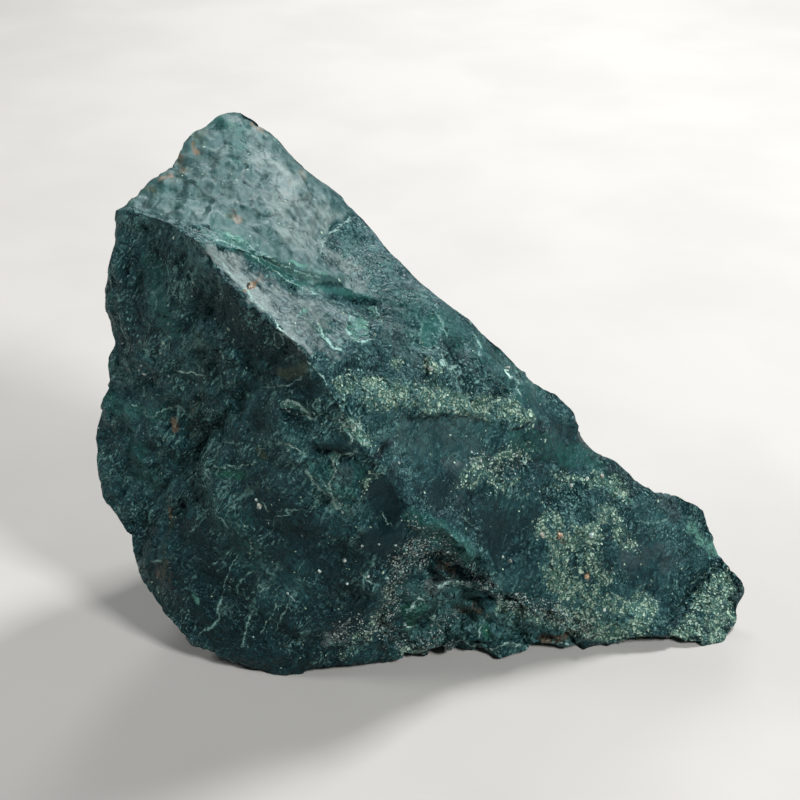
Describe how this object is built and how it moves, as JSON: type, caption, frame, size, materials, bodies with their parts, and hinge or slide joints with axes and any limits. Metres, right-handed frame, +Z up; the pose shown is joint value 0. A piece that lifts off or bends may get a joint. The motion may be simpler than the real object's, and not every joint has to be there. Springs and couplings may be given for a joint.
{
  "type": "rough jasper stone",
  "caption": "Hand-sized piece of rough dark green jasper with broken faces, a sharp front edge and an arm that tapers to a tip.",
  "frame": {"origin": "centre of the bounding box, at its bottom, on the surface the stone stands on", "axes": "+X along the stone's length, towards the tapering tip; +Y into its depth, away from the front; +Z up"},
  "size_m": [0.117, 0.0574, 0.0859],
  "materials": {
    "jasper": "dark blue-green fracture faces, dull, with pale veins, granular pale green bands, rust stains and a greyish top"
  },
  "bodies": {
    "root": {"rough_jasper": "jasper"}
  },
  "joints": []
}
